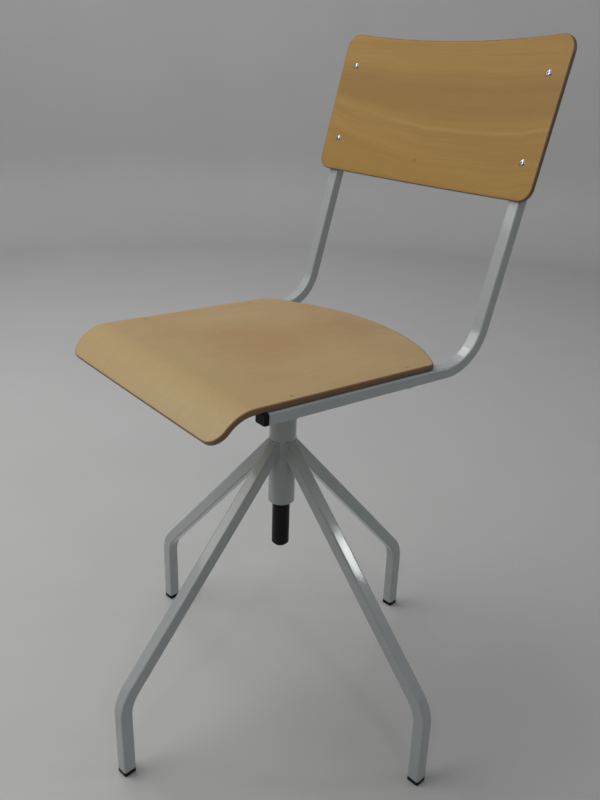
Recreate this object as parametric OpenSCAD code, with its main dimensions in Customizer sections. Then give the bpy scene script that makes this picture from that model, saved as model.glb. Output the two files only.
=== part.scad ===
// Drafting chair with a screw-lift base.
// A four-legged welded base carries a hub tube. A screw spindle runs through the hub, so that turning
// the seat raises or lowers it. Two bent side tubes carry a moulded plywood seat and backrest.
// Origin: on the spindle axis, on the floor. The seat faces -Y and the sitter's left is +X.

/* [Base] */
// Distance from the spindle axis to the middle of each foot
foot_radius = 310; // [280:1:330]
// Outside width of the square leg tube
leg_tube = 20; // [18:1:24]
// Height at which the two straight parts of a leg would cross
leg_bend_height = 132; // [110:1:160]
// Height at which the leg centrelines would reach the spindle axis
leg_apex_height = 469; // [440:1:480]
// Centreline radius of the bend in each leg
leg_bend_radius = 60; // [40:1:90]
// Angle from the seat's sideways axis to the first leg
base_turn = 6.6; // [0:0.1:45]
// Height of the plug that shows under each leg
foot_head = 8; // [4:0.5:10]

/* [Hub] */
// Outside diameter of the hub tube
hub_d = 42; // [40:1:48]
// Height of the lower end of the hub above the floor
hub_bottom = 355; // [340:1:360]
// Height of the upper end of the hub above the floor
hub_top = 523; // [510:1:530]

/* [Spindle] */
// Outside diameter of the screw spindle
spindle_d = 28; // [24:1:28]
// Height of the lower end of the spindle above the floor
spindle_bottom = 274; // [240:1:300]
// Length of the smooth lower part that slides in the guide sleeve
spindle_plain = 115; // [90:1:120]

/* [Seat frame] */
// Distance from the middle of the chair to the middle of each side tube
rail_offset = 192.5; // [180:0.5:200]
// Sideways width of the side tubes
rail_w = 20; // [18:1:22]
// Thickness of the side tubes in the plane of their bend
rail_h = 16; // [15:1:18]
// Distance behind the spindle at which the straight parts of a side tube would cross
corner_y = 187.5; // [180:0.5:200]
// Height at which the straight parts of a side tube would cross
corner_z = 606; // [598:1:612]
// Angle by which the seat falls towards the rear
seat_fall = 0.9; // [0:0.1:3]
// Angle by which the backrest leans back
back_lean = 15.6; // [10:0.1:18]
// Centreline radius of the bend from rail to upright
rail_bend_radius = 71; // [60:1:105]
// Length of the rail from its front end to the crossing point
rail_length = 362; // [355:1:372]
// Length of the upright from the crossing point to its top end
upright_length = 432; // [425:1:440]

/* [Seat] */
// Overall width of the seat panel
seat_w = 397; // [380:1:410]
// Thickness of the seat panel
seat_t = 8.5; // [8:0.5:12]
// Distance in front of the spindle at which the front of the seat starts to roll down
seat_roll_start = 191; // [170:1:200]
// Radius of the upper surface of the front roll
seat_roll_radius = 58; // [40:1:100]
// Angle through which the front of the seat rolls down
seat_roll_angle = 47; // [20:1:50]
// Straight length of the lip below the roll
seat_lip = 25; // [15:1:45]
// Distance from the spindle to the middle of the rear edge
seat_rear = 175.5; // [170:0.5:188]
// Radius of the curved rear edge, seen from above
seat_rear_radius = 322; // [310:1:450]
// Radius of the rear corners, seen from above
seat_rear_corner = 12; // [8:1:40]
// Radius of the front corners, seen from above
seat_corner = 22; // [15:1:50]

/* [Backrest] */
// Overall width of the backrest panel
back_w = 445; // [430:1:450]
// Thickness of the backrest panel
back_t = 6.5; // [6:0.5:10]
// Distance along the upright from the crossing point to the lower edge
back_low = 233; // [230:1:245]
// Distance along the upright from the crossing point to the upper edge
back_high = 455; // [445:1:460]
// Radius of the hollow side of the panel, which wraps round the sitter
back_radius = 2500; // [1100:10:2700]
// Depth of the shallow dip in the upper edge
back_dip = 9.5; // [1:0.5:12]
// Corner radius at the top of the panel
back_corner_top = 23; // [8:1:25]
// Corner radius at the bottom of the panel
back_corner_low = 20; // [15:1:35]

/* [Hidden] */

$fn = 48;
arc_steps = 20;          // flats that make up a bend, a roll or a rounded outline
arc_gap = 1;             // angle left out where one arc runs on from another
past = 1;                // how far a cutting shape runs past the face that it cuts
running = 0.08;          // radial clearance round the spindle
apart = 0.3;             // gap between end faces that turn against each other

// Paint, plastic, plated steel and wood
paint = [0.70, 0.75, 0.78];
black = [0.05, 0.05, 0.06];
plated = [0.75, 0.75, 0.77];
seat_wood = [0.80, 0.62, 0.38];
back_wood = [0.74, 0.53, 0.28];

// Leg tube
wall = 1.5;
tube_corner = 2.5;
leg_slope = atan((leg_apex_height - leg_bend_height) / foot_radius);
leg_bend = 90 - leg_slope;
leg_spare = 7;           // how far a leg stops short of the spindle axis
leg_last = norm([foot_radius, leg_apex_height - leg_bend_height]) - leg_spare;
stem_gap = 0.2;          // slack of a plug's stem in its tube, all round
skin = 0.01;             // thickness of the two outlines between which a plug's chamfer is drawn
plug_tip_corner = 1;     // corner radius of a plug's end face
foot_stem = 16;
foot_chamfer = 1.5;

// Hub and what it holds
hub_wall = 3;
hub_bore = hub_d / 2 - hub_wall;
nut_top = hub_top - 10;
nut_length = 32;
sleeve_length = 25;
bush_flange = 3.5;
spindle_r = spindle_d / 2;
bore_r = spindle_r + running;

// Spindle end, thread relief and the collar under the seat frame
spindle_chamfer = 3.5;
relief_length = 4;
relief_depth = 2.7;
collar_r = 24;
collar_bottom = 582;

// Seat frame, measured from the crossing point of rail and upright
rail_bend = 90 - back_lean + seat_fall;
plate_t = 5;
plate_w = 90;
plate_length = 180;
plate_corner = 10;
trim_height = 60;        // height of the block that trims the spindle and the collar
plate_under = -rail_h / 2 - plate_t;
cross_spacing = 150;
bolt_r = 5;
bolt_depth = 25;
bolt_head_r = 9.2;
bolt_head_h = 6.4;
washer_t = 2;
washer_r = 11.2;
plug_head = 7;
plug_chamfer = 1;
plug_stem = 18;
cap_head = 3.5;

// Seat fixings, as distances forward of the crossing point
seat_under = rail_h / 2;
seat_fix_y = [-318, -122];
seat_roll_y = -corner_y - seat_roll_start;
insert_r = 4.5;
insert_h = 6.5;
pan_r = 6;
pan_h = 3;
pan_edge = 1;            // height of the sloping rim of a pan head

// Backrest fixings, as distances along the upright
back_fix_z = [284, 402];
screw_r = 3;
hole_gap = 0.1;
dome_r = 6;
dome_h = 3;
dome_sink = 0.8;
screw_washer_r = 7;
screw_washer_t = 1.2;
screw_nut_r = 5.7;
screw_nut_h = 5;
// The hollow panel meets each upright along the upright's inner edge
back_outer = back_radius + back_t;
back_touch = rail_offset - rail_w / 2;
back_centre = -rail_h / 2 - sqrt(back_outer * back_outer - back_touch * back_touch);
dome_seat = back_centre + sqrt(back_radius * back_radius - rail_offset * rail_offset) + dome_sink;
dip_radius = (back_w * back_w / 4 + back_dip * back_dip) / (2 * back_dip);

// ---- Shared shapes ----

// A rectangle with round corners
module rounded_rect(w, h, r) {
    square([w - 2 * r, h], center = true);
    square([w, h - 2 * r], center = true);
    for (x = [-1, 1], y = [-1, 1])
        translate([x * (w / 2 - r), y * (h / 2 - r)])
            circle(r = r);
}

// A straight bar along +X, w wide and h thick
module straight_bar(w, h, r, length) {
    rotate([90, 0, 90])
        linear_extrude(length)
            rounded_rect(w, h, r);
}

// Points of an arc round a centre, from one angle to another
function arc(centre, radius, from, to) =
    [for (step = [0 : arc_steps])
        let (a = from + (to - from) * step / arc_steps)
            centre + radius * [cos(a), sin(a)]];

// Side view of a strip of thickness h that runs along +X for first, then turns up and runs on for last
function bent_strip(h, first, last, bend, radius) =
    let (centre = [first - radius * tan(bend / 2), radius],
        tip = [first, 0] + last * [cos(bend), sin(bend)],
        across = h / 2 * [-sin(bend), cos(bend)])
    concat([[0, -h / 2]], arc(centre, radius + h / 2, -90, bend - 90), [tip - across, tip + across],
        arc(centre, radius - h / 2, bend - 90, -90), [[0, h / 2]]);

// A bent square tube, open at both ends
module bent_tube(w, h, first, last, bend, radius) {
    rotate([90, 0, 0])
        difference() {
            linear_extrude(w, center = true)
                polygon(bent_strip(h, first, last, bend, radius));
            translate([-past, 0, 0])
                linear_extrude(w - 2 * wall, center = true)
                    polygon(bent_strip(h - 2 * wall, first + past, last + past, bend, radius));
        }
}

// A straight hollow tube along +X
module straight_tube(w, h, length) {
    difference() {
        straight_bar(w, h, tube_corner, length);
        translate([-past, 0, 0])
            straight_bar(w - 2 * wall, h - 2 * wall, tube_corner - wall, length + 2 * past);
    }
}

// A round ring standing on z = 0
module ring(outer, inner, h) {
    difference() {
        cylinder(r = outer, h = h);
        translate([0, 0, -past])
            cylinder(r = inner, h = h + 2 * past);
    }
}

// A plug for the end of a tube: a chamfered head above z = 0 and a stem below it
module tube_plug(w, h, head, chamfer, stem) {
    inset = wall + stem_gap;
    linear_extrude(head - chamfer)
        rounded_rect(w, h, tube_corner);
    translate([0, 0, head - chamfer])
        hull() {
            linear_extrude(skin)
                rounded_rect(w, h, tube_corner);
            translate([0, 0, chamfer - skin])
                linear_extrude(skin)
                    rounded_rect(w - 2 * chamfer, h - 2 * chamfer, plug_tip_corner);
        }
    translate([0, 0, -stem])
        linear_extrude(stem)
            rounded_rect(w - 2 * inset, h - 2 * inset, tube_corner - wall);
}

// ---- Places ----

// Frame of one leg: X runs up the foot, Z points at the spindle axis
module at_leg(number) {
    rotate([0, 0, base_turn + 90 * number])
        translate([foot_radius, 0, foot_head])
            rotate([0, -90, 0])
                children();
}

// Frame of the seat: Y runs back along the rails, starting where rail and upright would cross
module at_seat() {
    translate([0, corner_y, corner_z])
        rotate([-seat_fall, 0, 0])
            children();
}

// Frame of the backrest: Z runs up along the uprights, from the same crossing point
module at_back() {
    translate([0, corner_y, corner_z])
        rotate([-back_lean, 0, 0])
            children();
}

// The four places where the seat is fixed to the rails, at the height of the rails' middle
module at_seat_fixings() {
    at_seat()
        for (side = [-1, 1], y = seat_fix_y)
            translate([side * rail_offset, y, 0])
                children();
}

// The four places where the backrest is fixed to the uprights, with Z pointing back
module at_back_fixings() {
    at_back()
        for (side = [-1, 1], z = back_fix_z)
            translate([side * rail_offset, 0, z])
                rotate([-90, 0, 0])
                    children();
}

// Everything above the underside of the support plate, to cut the spindle and collar to its tilt
module above_plate() {
    at_seat()
        translate([-collar_r - past, -corner_y - collar_r - past, plate_under])
            cube([2 * (collar_r + past), 2 * (collar_r + past), trim_height]);
}

// ---- Base ----

// Upright tube to which the four legs are welded
module hub_tube() {
    color(paint)
        translate([0, 0, hub_bottom])
            ring(hub_d / 2, hub_bore, hub_top - hub_bottom);
}

// Nut fixed in the top of the hub, on which the spindle's thread runs
module spindle_nut() {
    color(plated)
        translate([0, 0, nut_top - nut_length])
            ring(hub_bore, bore_r, nut_length);
}

// Plastic sleeve fixed in the bottom of the hub, which steadies the spindle
module guide_sleeve() {
    color(black)
        translate([0, 0, hub_bottom])
            ring(hub_bore, bore_r, sleeve_length);
}

// Plastic bush in the mouth of the hub, which turns with the spindle but doesn't rise
module guide_bush() {
    color(black) {
        translate([0, 0, nut_top + apart])
            ring(hub_bore - running, bore_r, hub_top - nut_top);
        translate([0, 0, hub_top + apart])
            ring(hub_d / 2, bore_r, bush_flange);
    }
}

// Bent leg tube, cut to fit round the hub
module leg(number) {
    color(paint)
        difference() {
            at_leg(number)
                bent_tube(leg_tube, leg_tube, leg_bend_height - foot_head, leg_last,
                    leg_bend, leg_bend_radius);
            cylinder(d = hub_d, h = leg_apex_height + leg_tube);
        }
}

module leg_left() leg(0);
module leg_rear() leg(1);
module leg_right() leg(2);
module leg_front() leg(3);

// Plastic plug in the lower end of a leg
module foot(number) {
    color(black)
        at_leg(number)
            rotate([0, -90, 0])
                tube_plug(leg_tube, leg_tube, foot_head, foot_chamfer, foot_stem);
}

module foot_left() foot(0);
module foot_rear() foot(1);
module foot_right() foot(2);
module foot_front() foot(3);

// ---- Spindle and seat support ----

// Screw spindle: a smooth lower part, a relief groove and a threaded upper part at its crest diameter
module spindle() {
    plain_top = spindle_bottom + spindle_plain;
    relief_r = spindle_r - relief_depth;
    color(black)
        difference() {
            rotate_extrude($fn = 96)
                polygon([
                    [0, spindle_bottom],
                    [spindle_r - spindle_chamfer, spindle_bottom],
                    [spindle_r, spindle_bottom + spindle_chamfer],
                    [spindle_r, plain_top],
                    [relief_r, plain_top],
                    [relief_r, plain_top + relief_length],
                    [spindle_r, plain_top + relief_length],
                    [spindle_r, corner_z],
                    [0, corner_z]]);
            above_plate();
            at_seat()
                translate([0, -corner_y, plate_under - bolt_depth])
                    cylinder(r = bolt_r + hole_gap, h = bolt_depth + past);
        }
}

// Ring welded round the top of the spindle, under the support plate
module spindle_collar() {
    color(paint)
        difference() {
            translate([0, 0, collar_bottom])
                ring(collar_r, spindle_r, corner_z - collar_bottom);
            above_plate();
        }
}

// Plate under the two cross tubes, bolted to the top of the spindle
module support_plate() {
    color(paint)
        at_seat()
            translate([0, -corner_y, plate_under])
                difference() {
                    linear_extrude(plate_t)
                        rounded_rect(plate_w, plate_length, plate_corner);
                    translate([0, 0, -past])
                        cylinder(r = bolt_r + hole_gap, h = plate_t + 2 * past);
                }
}

// Hexagon bolt that holds the support plate on the spindle
module spindle_bolt() {
    shank = washer_t + plate_t + bolt_depth - past;
    color(plated)
        at_seat()
            translate([0, -corner_y, -rail_h / 2 + washer_t]) {
                cylinder(r = bolt_head_r, h = bolt_head_h, $fn = 6);
                translate([0, 0, -shank])
                    cylinder(r = bolt_r, h = shank);
            }
}

// Washer under the head of that bolt
module spindle_washer() {
    color(plated)
        at_seat()
            translate([0, -corner_y, -rail_h / 2])
                ring(washer_r, bolt_r + hole_gap, washer_t);
}

// Tube that joins the two rails across the chair
module cross_tube(side) {
    half = rail_offset - rail_w / 2;
    color(paint)
        at_seat()
            translate([-half, -corner_y + side * cross_spacing / 2, 0])
                straight_tube(rail_w, rail_h, 2 * half);
}

module cross_tube_front() cross_tube(-1);
module cross_tube_rear() cross_tube(1);

// ---- Side tubes ----

// One bent tube that is both seat rail and backrest upright, drilled for its fixings
module rail(side) {
    color(paint)
        difference() {
            at_seat()
                translate([side * rail_offset, -rail_length, 0])
                    rotate([0, 0, 90])
                        bent_tube(rail_w, rail_h, rail_length, upright_length,
                            rail_bend, rail_bend_radius);
            at_seat_fixings()
                cylinder(r = screw_r + hole_gap, h = rail_h + 2 * past, center = true);
            at_back_fixings()
                cylinder(r = screw_r + hole_gap, h = rail_h + 2 * past, center = true);
        }
}

module rail_left() rail(1);
module rail_right() rail(-1);

// Plastic plug in the front end of a rail
module rail_plug(side) {
    color(black)
        at_seat()
            translate([side * rail_offset, -rail_length, 0])
                rotate([90, 0, 0])
                    tube_plug(rail_w, rail_h, plug_head, plug_chamfer, plug_stem);
}

module rail_plug_left() rail_plug(1);
module rail_plug_right() rail_plug(-1);

// Plastic cap in the top end of an upright
module upright_cap(side) {
    color(black)
        at_back()
            translate([side * rail_offset, 0, upright_length])
                tube_plug(rail_w, rail_h, cap_head, plug_chamfer, plug_stem);
}

module upright_cap_left() upright_cap(1);
module upright_cap_right() upright_cap(-1);

// ---- Seat ----

// Side view of the seat from the start of its roll: flat to the rear, then roll and lip to the front
module seat_profile() {
    centre = [0, seat_t - seat_roll_radius];
    rolled = 90 + seat_roll_angle;
    lip = seat_lip * [-cos(seat_roll_angle), -sin(seat_roll_angle)];
    top = arc(centre, seat_roll_radius, 90, rolled);
    under = arc(centre, seat_roll_radius - seat_t, rolled, 90);
    flat = seat_rear + seat_roll_start;
    polygon(concat(top, [top[arc_steps] + lip, under[0] + lip], under, [[flat, 0], [flat, seat_t]]));
}

// Outline of the seat from above: a curved rear edge between round corners, and two round front corners
module seat_outline() {
    centre_y = -corner_y + seat_rear - seat_rear_radius;
    rear_x = seat_w / 2 - seat_rear_corner;
    reach = seat_rear_radius - seat_rear_corner;
    rear_y = centre_y + sqrt(reach * reach - rear_x * rear_x);
    meet = atan2(rear_y - centre_y, rear_x);
    front_x = seat_w / 2 - seat_corner;
    tip = seat_roll_y - seat_roll_radius * sin(seat_roll_angle) - seat_lip * cos(seat_roll_angle);
    front_y = tip + seat_corner;
    polygon(concat(
        arc([rear_x, rear_y], seat_rear_corner, 0, meet),
        arc([0, centre_y], seat_rear_radius, meet + arc_gap, 180 - meet - arc_gap),
        arc([-rear_x, rear_y], seat_rear_corner, 180 - meet, 180),
        arc([-front_x, front_y], seat_corner, 180, 270),
        arc([front_x, front_y], seat_corner, 270, 360)));
}

// Moulded plywood seat, drilled from below for its threaded inserts
module seat_panel() {
    color(seat_wood)
        difference() {
            at_seat()
                intersection() {
                    translate([-seat_w / 2, seat_roll_y, seat_under])
                        rotate([90, 0, 90])
                            linear_extrude(seat_w)
                                seat_profile();
                    translate([0, 0, -seat_roll_radius])
                        linear_extrude(2 * seat_roll_radius)
                            seat_outline();
                }
            at_seat_fixings()
                cylinder(r = insert_r, h = seat_under + insert_h);
        }
}

// Threaded inserts in the underside of the seat
module seat_inserts() {
    color(plated)
        at_seat_fixings()
            translate([0, 0, seat_under])
                ring(insert_r, screw_r + hole_gap, insert_h);
}

// Pan-head screws that come up through the rails into the inserts
module seat_screws() {
    color(plated)
        at_seat_fixings()
            translate([0, 0, -seat_under - pan_h]) {
                cylinder(r1 = pan_r - pan_edge, r2 = pan_r, h = pan_edge);
                translate([0, 0, pan_edge])
                    cylinder(r = pan_r, h = pan_h - pan_edge);
                translate([0, 0, pan_h])
                    cylinder(r = screw_r, h = rail_h + insert_h - past);
            }
}

// ---- Backrest ----

// Front view of the backrest: round corners, and a shallow dip in the upper edge
module backrest_outline() {
    half = back_w / 2;
    difference() {
        union() {
            for (side = [-1, 1]) {
                translate([side * (half - back_corner_low), back_low + back_corner_low])
                    circle(r = back_corner_low);
                translate([side * (half - back_corner_top), back_high - back_corner_top])
                    circle(r = back_corner_top);
            }
            translate([-half + back_corner_low, back_low])
                square([back_w - 2 * back_corner_low, back_corner_low + past]);
            translate([-half, back_low + back_corner_low])
                square([back_w, back_high - back_low - back_corner_low - back_corner_top]);
            translate([-half + back_corner_top, back_high - back_corner_top - past])
                square([back_w - 2 * back_corner_top, back_corner_top + past]);
        }
        translate([0, back_high - back_dip + dip_radius])
            circle(r = dip_radius, $fn = 1080);
    }
}

// Plywood backrest, hollow towards the sitter
module backrest_panel() {
    color(back_wood)
        difference() {
            at_back()
                intersection() {
                    translate([0, back_centre, 0])
                        difference() {
                            cylinder(r = back_outer, h = 2 * back_high, $fn = 360);
                            translate([0, 0, -past])
                                cylinder(r = back_radius, h = 2 * back_high + 2 * past, $fn = 360);
                        }
                    translate([0, back_w / 4, 0])
                        rotate([90, 0, 0])
                            linear_extrude(back_w / 2)
                                backrest_outline();
                }
            at_back_fixings() {
                translate([0, 0, dome_seat - 2 * dome_h])
                    cylinder(r = dome_r + hole_gap, h = 2 * dome_h);
                translate([0, 0, dome_seat - past])
                    cylinder(r = screw_r + hole_gap, h = rail_h);
            }
        }
}

// Dome-head screws through backrest and uprights
module backrest_screws() {
    dome = (dome_r * dome_r + dome_h * dome_h) / (2 * dome_h);
    shank = rail_h / 2 - dome_seat + screw_washer_t + screw_nut_h - past;
    color(plated)
        at_back_fixings()
            translate([0, 0, dome_seat]) {
                intersection() {
                    translate([0, 0, dome - dome_h])
                        sphere(r = dome);
                    translate([0, 0, -dome_h])
                        cylinder(r = dome_r, h = dome_h);
                }
                cylinder(r = screw_r, h = shank);
            }
}

// Washers behind the uprights
module backrest_washers() {
    color(plated)
        at_back_fixings()
            translate([0, 0, rail_h / 2])
                ring(screw_washer_r, screw_r + hole_gap, screw_washer_t);
}

// Hexagon nuts behind the uprights
module backrest_nuts() {
    color(plated)
        at_back_fixings()
            translate([0, 0, rail_h / 2 + screw_washer_t])
                difference() {
                    cylinder(r = screw_nut_r, h = screw_nut_h, $fn = 6);
                    translate([0, 0, -past])
                        cylinder(r = screw_r + hole_gap, h = screw_nut_h + 2 * past);
                }
}

hub_tube();
spindle_nut();
guide_sleeve();
guide_bush();
leg_left();
leg_rear();
leg_right();
leg_front();
foot_left();
foot_rear();
foot_right();
foot_front();
spindle();
spindle_collar();
spindle_bolt();
spindle_washer();
support_plate();
cross_tube_front();
cross_tube_rear();
rail_left();
rail_right();
rail_plug_left();
rail_plug_right();
upright_cap_left();
upright_cap_right();
seat_panel();
seat_inserts();
seat_screws();
backrest_panel();
backrest_screws();
backrest_washers();
backrest_nuts();
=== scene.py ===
import math

import bpy
from mathutils import Matrix, Vector


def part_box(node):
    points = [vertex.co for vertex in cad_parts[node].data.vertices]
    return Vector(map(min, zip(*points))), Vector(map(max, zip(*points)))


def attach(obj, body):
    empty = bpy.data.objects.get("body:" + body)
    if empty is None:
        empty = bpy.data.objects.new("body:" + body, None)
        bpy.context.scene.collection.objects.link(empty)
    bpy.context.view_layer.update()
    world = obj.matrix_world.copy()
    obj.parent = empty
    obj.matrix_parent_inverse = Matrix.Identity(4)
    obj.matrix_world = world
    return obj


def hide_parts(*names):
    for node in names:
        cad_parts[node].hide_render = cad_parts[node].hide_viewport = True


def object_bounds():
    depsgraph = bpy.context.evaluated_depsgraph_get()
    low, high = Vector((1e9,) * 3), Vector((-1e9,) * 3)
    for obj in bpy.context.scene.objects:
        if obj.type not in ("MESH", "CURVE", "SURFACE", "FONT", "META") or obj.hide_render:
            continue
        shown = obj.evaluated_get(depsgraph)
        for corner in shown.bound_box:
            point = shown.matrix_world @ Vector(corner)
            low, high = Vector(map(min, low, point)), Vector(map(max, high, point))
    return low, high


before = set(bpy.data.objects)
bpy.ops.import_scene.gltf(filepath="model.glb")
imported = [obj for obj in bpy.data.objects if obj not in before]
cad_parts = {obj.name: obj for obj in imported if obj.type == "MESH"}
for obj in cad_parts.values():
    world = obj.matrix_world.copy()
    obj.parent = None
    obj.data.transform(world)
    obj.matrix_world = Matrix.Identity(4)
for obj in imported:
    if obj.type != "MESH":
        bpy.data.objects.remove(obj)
cad_low, cad_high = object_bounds()

# ---- Sizes in metres, angles in degrees, and counts of points ----

# The camera stands where the photographer stood
VIEW_AZIMUTH, VIEW_ELEVATION, VIEW_ROLL = 51.43, 22.64, 1.91
VIEW_DISTANCE = 1.4312
VIEW_AIM_RIGHT, VIEW_AIM_UP = 0.0248, 0.4868
LENS = 36.38

# Square and flat tubes, and how finely round shapes are stepped
WALL = 0.0015
TUBE_CORNER = 0.0026     # outside corner radius of every tube
CORNER_STEPS = 5
FLAT_SHARES = (0.04, 0.25, 0.5, 0.75, 0.96)
BEND_STEPS = 28
TURNED_STEPS = 96        # flats round a turned piece

# Plugs of the feet, of the rails' front ends and, with a lower head, of the uprights' top ends
FOOT_CHAMFER, FOOT_STEM = 0.0015, 0.016
PLUG_HEAD, PLUG_CHAMFER, PLUG_STEM, CAP_HEAD = 0.007, 0.001, 0.018, 0.0035

# Weld beads: their radii, and the length and depth of their ripples
LEG_WELD, COLLAR_WELD, CROSS_WELD, PLATE_WELD = 0.0022, 0.0022, 0.0017, 0.0019
PLATE_WELD_REACH = 0.036
WELD_STEP, WELD_POINTS = 0.001, 10
RIPPLE_LENGTH, RIPPLE_DEPTH = 0.0032, 0.10
WELD_SINK = 0.0003       # how far the legs' ends reach into the hub

# Base: a leg's centre line bends at one height and, run on, crosses the spindle's axis at the other
BASE_TURN = 6.6
FOOT_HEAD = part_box("leg_left")[0].z
LEG_TUBE = 0.020
LEG_BEND_HEIGHT, LEG_APEX_HEIGHT, LEG_BEND_RADIUS = 0.132, 0.469, 0.060
FOOT_RADIUS = 0.310

# Hub and spindle: a plain lower part, a relief and the thread
HUB_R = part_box("hub_tube")[1].x
HUB_WALL, BUSH_FLANGE = 0.003, 0.0035
SPINDLE_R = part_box("spindle")[1].x
RUNNING = 0.00008        # radial clearance round the spindle
THREAD_LEAD, THREAD_DEPTH = 0.005, 0.0022
TOOTH_ROOT, TOOTH_FOOT, TOOTH_CREST = 0.42, 0.36, 0.19   # half widths as shares of the lead
PLAIN_LENGTH, RELIEF_LENGTH, RELIEF_R = 0.115, 0.004, 0.0113
SPINDLE_CHAMFER = 0.0035

# Seat frame: the centre lines of a rail and its upright cross at CORNER_Y, CORNER_Z
CORNER_Y, CORNER_Z = 0.1875, 0.606
SEAT_FALL, BACK_LEAN = 0.9, 15.6
RAIL_OFFSET = (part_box("rail_left")[0].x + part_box("rail_left")[1].x) / 2
RAIL_W, RAIL_H = 0.020, 0.016
RAIL_LENGTH, UPRIGHT_LENGTH, RAIL_BEND_RADIUS = 0.362, 0.432, 0.071
CROSS_Y = 0.075
PLATE_W, PLATE_LENGTH, PLATE_T, PLATE_CORNER = 0.090, 0.180, 0.005, 0.010
PLATE_EDGE = 0.0006

# Both panels
SEAT_T, BACK_T = 0.0085, 0.0065
SEAT_PLIES, BACK_PLIES = 7, 5
SEAT_ROUNDING, BACK_ROUNDING = 0.0022, 0.0015
SEAT_ROWS, BACK_ROWS = 84, 40
NEARLY_STRAIGHT = 60.0   # radius of their straight edges

# Seat, from the crossing of the centre lines: a flat sheet whose front rolls down to a straight lip
SEAT_W = 0.397
SEAT_ROLL_Y, SEAT_ROLL_RADIUS, SEAT_ROLL_ANGLE = -0.3785, 0.058, 47.0
SEAT_LIP = 0.025
SEAT_FLAT = 0.3665
SEAT_FLAT_START = SEAT_LIP + math.radians(SEAT_ROLL_ANGLE) * (SEAT_ROLL_RADIUS - SEAT_T / 2)
DENT_Y, DENT_ASIDE = (-0.318, -0.122), 0.006   # dents beside the seat's inserts
SEAT_REAR_RADIUS, SEAT_CORNER, SEAT_REAR_CORNER = 0.322, 0.026, 0.0125
# Worn patches of the seat, on its flat sheet: middle, radius and strength
SEAT_WEAR = (((-0.015, 0.215), 0.035, 0.40), ((0.005, 0.375), 0.012, 0.55))

# Backrest: its heights run up the uprights from the same crossing, and its top edge dips in the middle
BACK_W, BACK_LOW, BACK_HIGH = 0.445, 0.233, 0.455
BACK_RADIUS, BACK_DIP = 2.500, 0.0095
BACK_OUTER = BACK_RADIUS + BACK_T
# The panel rests on the inner edges of the uprights
BACK_CENTRE = -RAIL_H / 2 - math.sqrt(BACK_OUTER ** 2 - (RAIL_OFFSET - RAIL_W / 2) ** 2)
BACK_CORNER_TOP, BACK_CORNER_LOW = 0.023, 0.020
BACK_SCREW_Z = (0.284, 0.402)
DOME_R, DOME_H, DOME_SINK = 0.006, 0.0030, 0.0008
SCREW_R = 0.003
SOCKET_R, SOCKET_DEPTH = 0.0019, 0.0016
SCREW_END = 0.0132       # how far a backrest screw reaches behind the middle of its upright

SIDES = {"left": 1, "right": -1}
LEGS = ("left", "rear", "right", "front")


def turned(degrees, axis):
    return Matrix.Rotation(math.radians(degrees), 4, axis)


def moved(x, y, z):
    return Matrix.Translation((x, y, z))


# Frames of the seat's rails and of the backrest's uprights, and the seat's frame on the spindle's axis
SEAT = moved(0, CORNER_Y, CORNER_Z) @ turned(-SEAT_FALL, "X")
BACK = moved(0, CORNER_Y, CORNER_Z) @ turned(-BACK_LEAN, "X")
ON_AXIS = SEAT @ moved(0, -CORNER_Y, 0)


def leg_frame(number):
    """X runs up the foot and Z points at the spindle axis."""
    place = moved(FOOT_RADIUS, 0, FOOT_HEAD) @ turned(-90, "Y")
    return turned(BASE_TURN + 90 * number, "Z") @ place


# ---- Meshes ----

def mesh_piece(name, points, faces, crease=35):
    """A new smooth-shaded object, sharp only where its faces meet at more than the crease angle."""
    mesh = bpy.data.meshes.new(name)
    mesh.from_pydata([tuple(p) for p in points], [], faces)
    mesh.validate()
    mesh.shade_smooth()
    mesh.set_sharp_from_angle(angle=math.radians(crease))
    piece = bpy.data.objects.new(name, mesh)
    bpy.context.scene.collection.objects.link(piece)
    return piece


def flat_shading(piece):
    """Lets the large faces of a piece set its shading, so that flats beside round edges look flat."""
    even = piece.modifiers.new("even_shading", "WEIGHTED_NORMAL")
    even.keep_sharp = True
    return piece


def strip(first, second):
    """Faces between two equal closed lines of points, given by their numbers."""
    count = len(first)
    return [(first[i], first[(i + 1) % count], second[(i + 1) % count], second[i]) for i in range(count)]


def loft(name, rings, closed=False, crease=35):
    """A skin over equal rings of points, capped at both ends, or joined end to end if closed."""
    count = len(rings[0])
    faces = []
    for i in range(len(rings) if closed else len(rings) - 1):
        a, b = i * count, (i + 1) % len(rings) * count
        faces += strip(range(a, a + count), range(b, b + count))
    if not closed:
        last = (len(rings) - 1) * count
        faces.append(tuple(reversed(range(count))))
        faces.append(tuple(last + j for j in range(count)))
    return mesh_piece(name, [p for ring in rings for p in ring], faces, crease)


def join(name, pieces):
    """One object made of several."""
    with bpy.context.temp_override(active_object=pieces[0], selected_editable_objects=pieces):
        bpy.ops.object.join()
    pieces[0].name = name
    return pieces[0]


def circle(radius, z, place=Matrix.Identity(4), steps=64):
    """Points of a circle round the place's Z axis."""
    turns = [2 * math.pi * i / steps for i in range(steps)]
    return [place @ Vector((radius * math.cos(a), radius * math.sin(a), z)) for a in turns]


def lathe(name, profile, place=Matrix.Identity(4), steps=64, closed=False):
    """A turned shape round the place's Z axis, from (radius, height) points given upwards."""
    return loft(name, [circle(r, z, place, steps) for r, z in profile], closed)


def ring_profile(outer, inner, low, high, edge):
    """Closed outline of a ring whose edges are broken by a small chamfer."""
    return [(outer - edge, low), (outer, low + edge), (outer, high - edge), (outer - edge, high),
            (inner + edge, high), (inner, high - edge), (inner, low + edge), (inner + edge, low)]


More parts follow.
